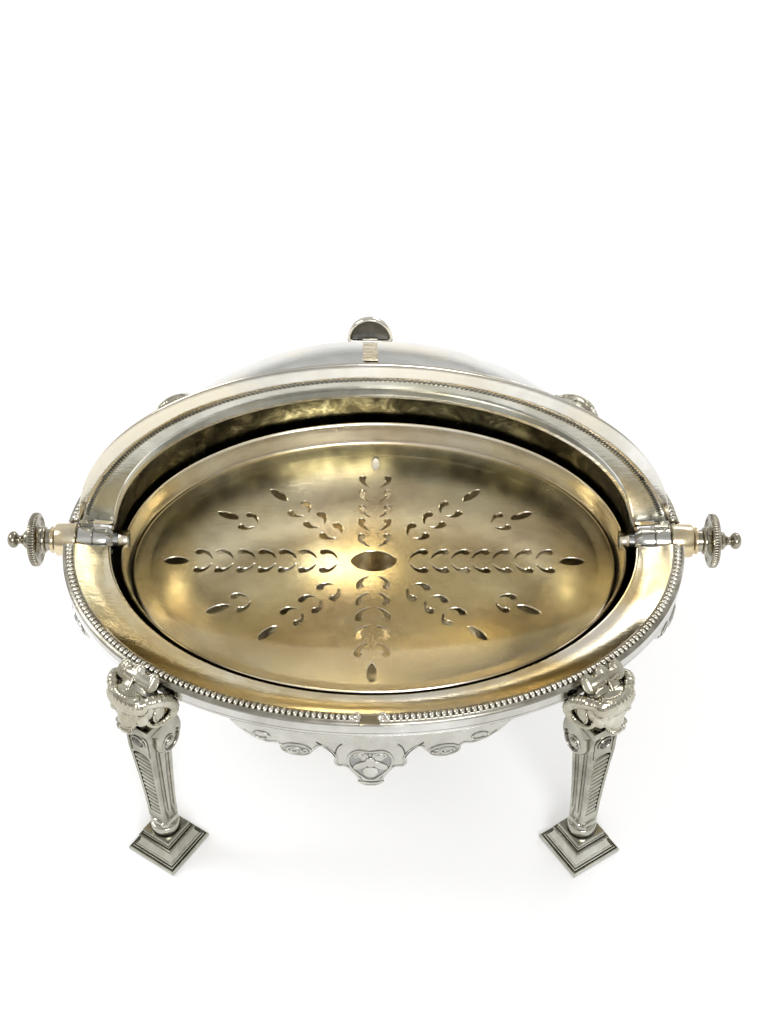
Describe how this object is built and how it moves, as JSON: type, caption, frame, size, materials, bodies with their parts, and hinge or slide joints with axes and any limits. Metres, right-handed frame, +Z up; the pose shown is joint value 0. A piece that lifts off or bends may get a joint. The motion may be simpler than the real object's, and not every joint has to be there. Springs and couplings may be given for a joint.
{
  "type": "revolving butter dish",
  "caption": "Oval lidded table dish in silver plate: roll-back half-spheroid lid on end pivots, pierced drainer, beaded rim, ram's head legs on stepped plinths.",
  "frame": {"origin": "on the table, under the middle of the dish", "axes": "+X along the dish and its pivot, +Y to the rear, +Z up"},
  "size_m": [0.2932, 0.1901, 0.2109],
  "materials": {
    "silver_plate": "polished silver plate",
    "cast_silver": "cast and chased silver plate, tarnished in the recesses",
    "gilt_silver": "silver plate toned warm gold by tarnish",
    "pin_metal": "plain turned pin"
  },
  "bodies": {
    "dish": {"outer_bowl": "silver_plate", "bead_strip_front_left": "silver_plate", "bead_strip_front_right": "silver_plate", "bead_strip_rear": "silver_plate", "rim_band_front": "silver_plate", "rim_band_rear": "silver_plate", "hinge_barrel_left": "silver_plate", "hinge_barrel_right": "silver_plate", "inner_knuckle_left": "silver_plate", "inner_knuckle_right": "silver_plate", "plinth_front_left": "silver_plate", "plinth_front_right": "silver_plate", "plinth_rear_left": "silver_plate", "plinth_rear_right": "silver_plate", "apron_front": "cast_silver", "apron_right": "cast_silver", "apron_rear": "cast_silver", "apron_left": "cast_silver", "ram_head_front_left": "cast_silver", "ram_head_front_right": "cast_silver", "ram_head_rear_left": "cast_silver", "ram_head_rear_right": "cast_silver", "leg_post_front_left": "cast_silver", "leg_post_front_right": "cast_silver", "leg_post_rear_left": "cast_silver", "leg_post_rear_right": "cast_silver", "leg_collar_front_left": "cast_silver", "leg_collar_front_right": "cast_silver", "leg_collar_rear_left": "cast_silver", "leg_collar_rear_right": "cast_silver", "rim_cove_front": "gilt_silver", "rim_cove_rear": "gilt_silver", "liner": "gilt_silver", "hanger_lug_left": "gilt_silver", "hanger_lug_right": "gilt_silver"},
    "lid": {"lid_dome": "silver_plate", "lid_brim": "silver_plate", "lid_knuckle_left": "silver_plate", "lid_knuckle_right": "silver_plate", "thumb_piece": "cast_silver"},
    "left_knob": {"finial_left": "silver_plate", "pivot_pin_left": "pin_metal"},
    "right_knob": {"finial_right": "silver_plate", "pivot_pin_right": "pin_metal"},
    "drainer": {"drainer_plate": "gilt_silver"}
  },
  "joints": [
    {"name": "lid_roll", "type": "hinge", "parent": "dish", "child": "lid", "pos_m": [0, 0, 0.1006], "axis": [1, 0, 0], "range_deg": [-10, 86.7]},
    {"name": "left_knob_turn", "type": "hinge", "parent": "dish", "child": "left_knob", "pos_m": [-0.13, 0, 0.1006], "axis": [1, 0, 0], "continuous": true},
    {"name": "right_knob_turn", "type": "hinge", "parent": "dish", "child": "right_knob", "pos_m": [0.13, 0, 0.1006], "axis": [1, 0, 0], "continuous": true},
    {"name": "drainer_lift", "type": "slide", "parent": "dish", "child": "drainer", "axis": [0, 0, 1], "range_m": [0, 0.02]}
  ]
}
